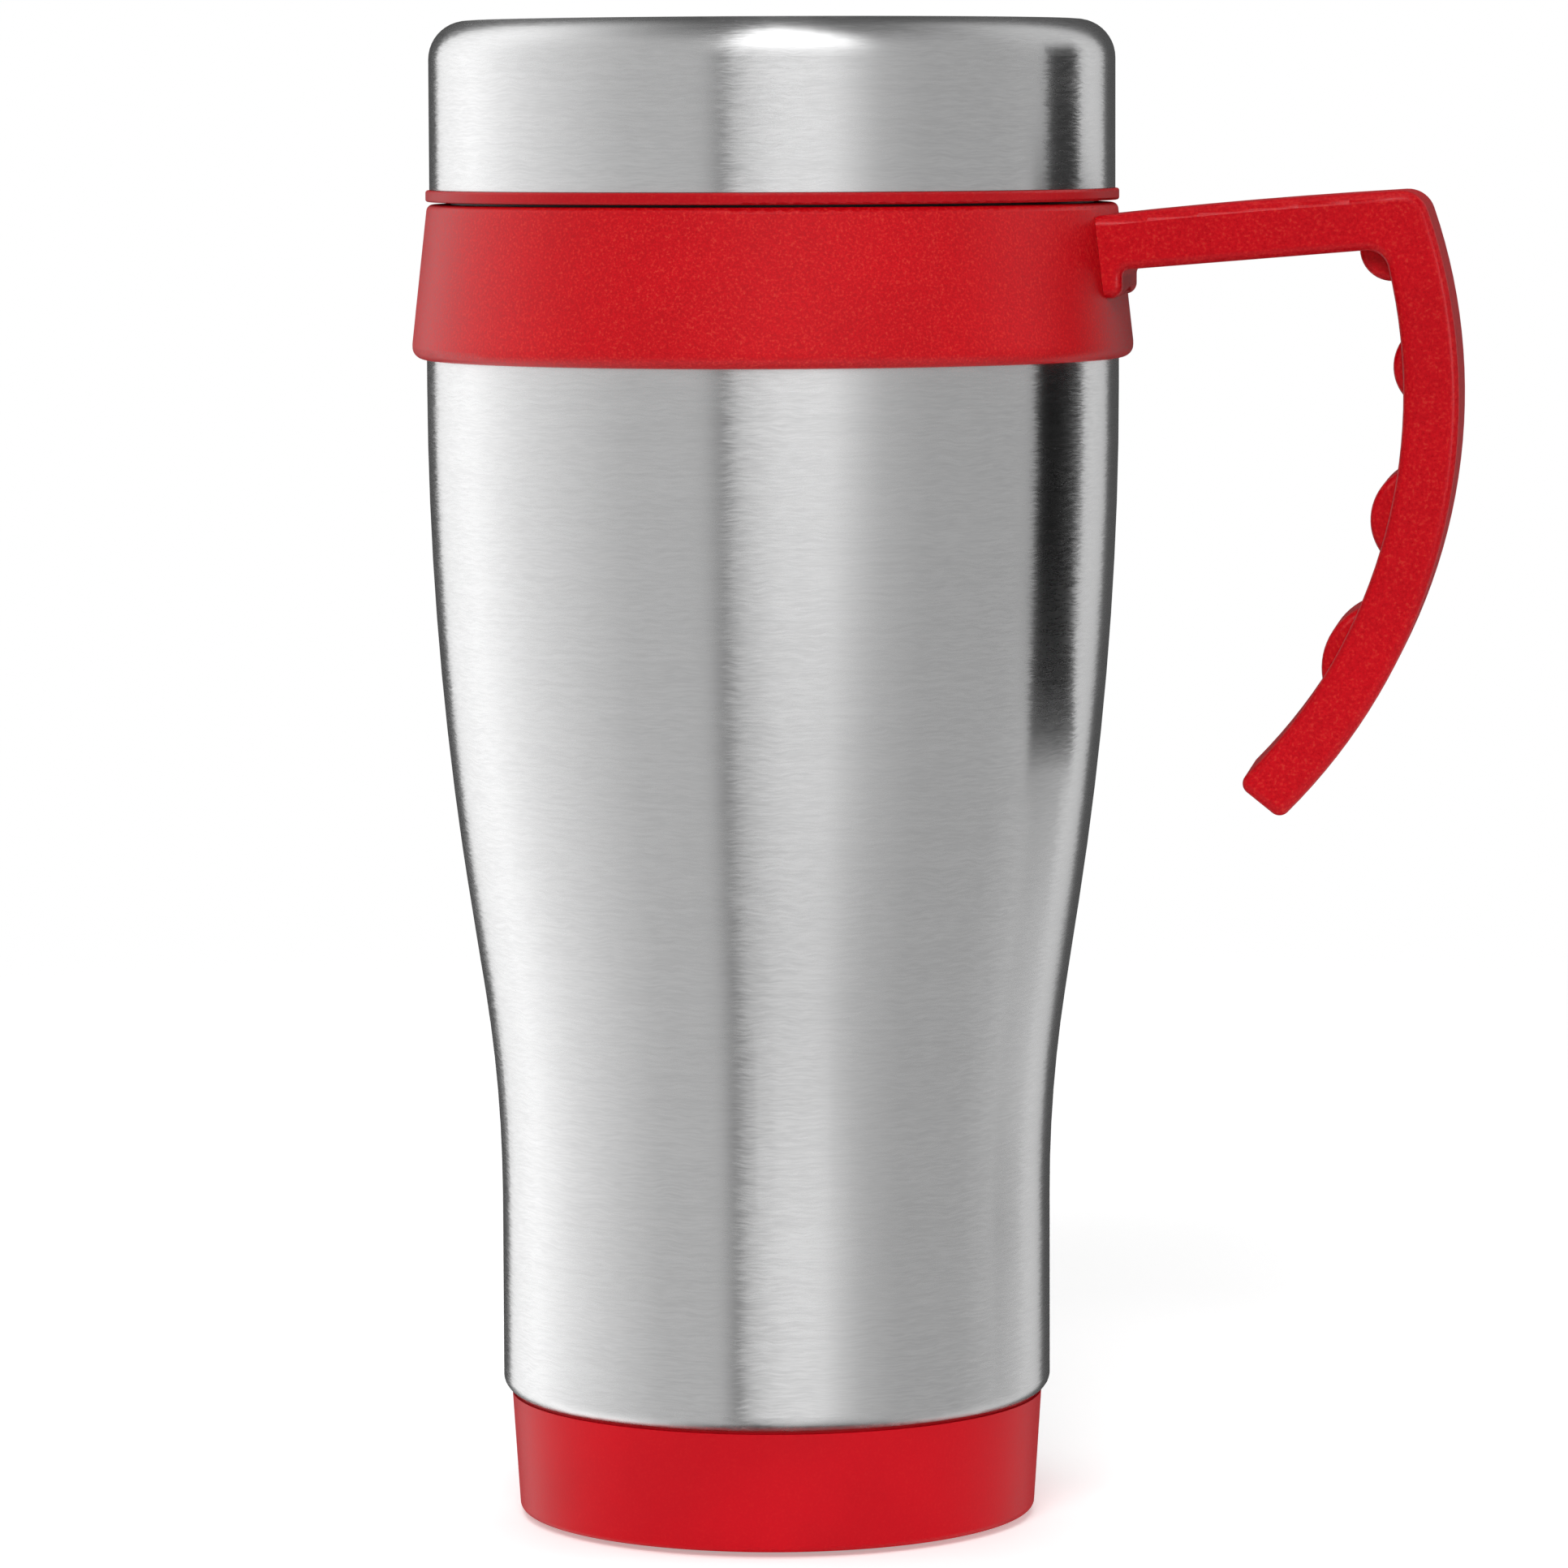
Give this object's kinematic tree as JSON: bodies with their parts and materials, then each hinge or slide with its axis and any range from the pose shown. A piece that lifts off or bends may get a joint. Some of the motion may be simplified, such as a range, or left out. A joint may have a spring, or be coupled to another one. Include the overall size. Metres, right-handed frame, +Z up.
{
  "type": "insulated travel mug",
  "caption": "Insulated travel mug: waisted brushed steel body over a plastic cup, moulded collar with an open grip handle, push-in steel-capped lid with a sliding drink cover.",
  "frame": {"origin": "centre of the non-slip pad's lower face, on the mug's axis at the surface it stands on", "axes": "+Z up along the mug's axis, +X towards the handle, -X towards the drink opening"},
  "size_m": [0.1224, 0.0842, 0.1755],
  "materials": {
    "brushed_steel": "stainless steel brushed round the body, satin",
    "red_plastic": "red polypropylene with a fine spark-eroded grain",
    "base_plastic": "red polypropylene, smooth satin",
    "lid_plastic": "red polypropylene, satin",
    "liner_plastic": "black polypropylene, satin",
    "slider_plastic": "black polypropylene, satin",
    "silicone": "grey food-grade silicone, soft matt",
    "pad_rubber": "black rubber, matt with a fine grain"
  },
  "bodies": {
    "mug": {"outer_shell": "brushed_steel", "inner_liner": "liner_plastic", "liner_seal": "silicone", "collar": "red_plastic", "handle": "red_plastic", "base_cup": "base_plastic", "base_seal": "silicone", "base_pad": "pad_rubber"},
    "gasket_ring": {"lid_gasket": "silicone"},
    "lid": {"lid_cover": "brushed_steel", "lid_body": "lid_plastic", "lid_plug": "liner_plastic"},
    "slider": {"slider": "slider_plastic", "slider_seal": "silicone", "slider_clip": "slider_plastic"}
  },
  "joints": [
    {"name": "lid_lift", "type": "slide", "parent": "mug", "child": "gasket_ring", "axis": [0, 0, 1], "range_m": [0, 0.06]},
    {"name": "lid_turn", "type": "hinge", "parent": "gasket_ring", "child": "lid", "pos_m": [0, 0, 0.149], "axis": [0, 0, 1], "continuous": true},
    {"name": "slider_travel", "type": "slide", "parent": "lid", "child": "slider", "axis": [1, 0, 0], "range_m": [0, 0.012]}
  ]
}
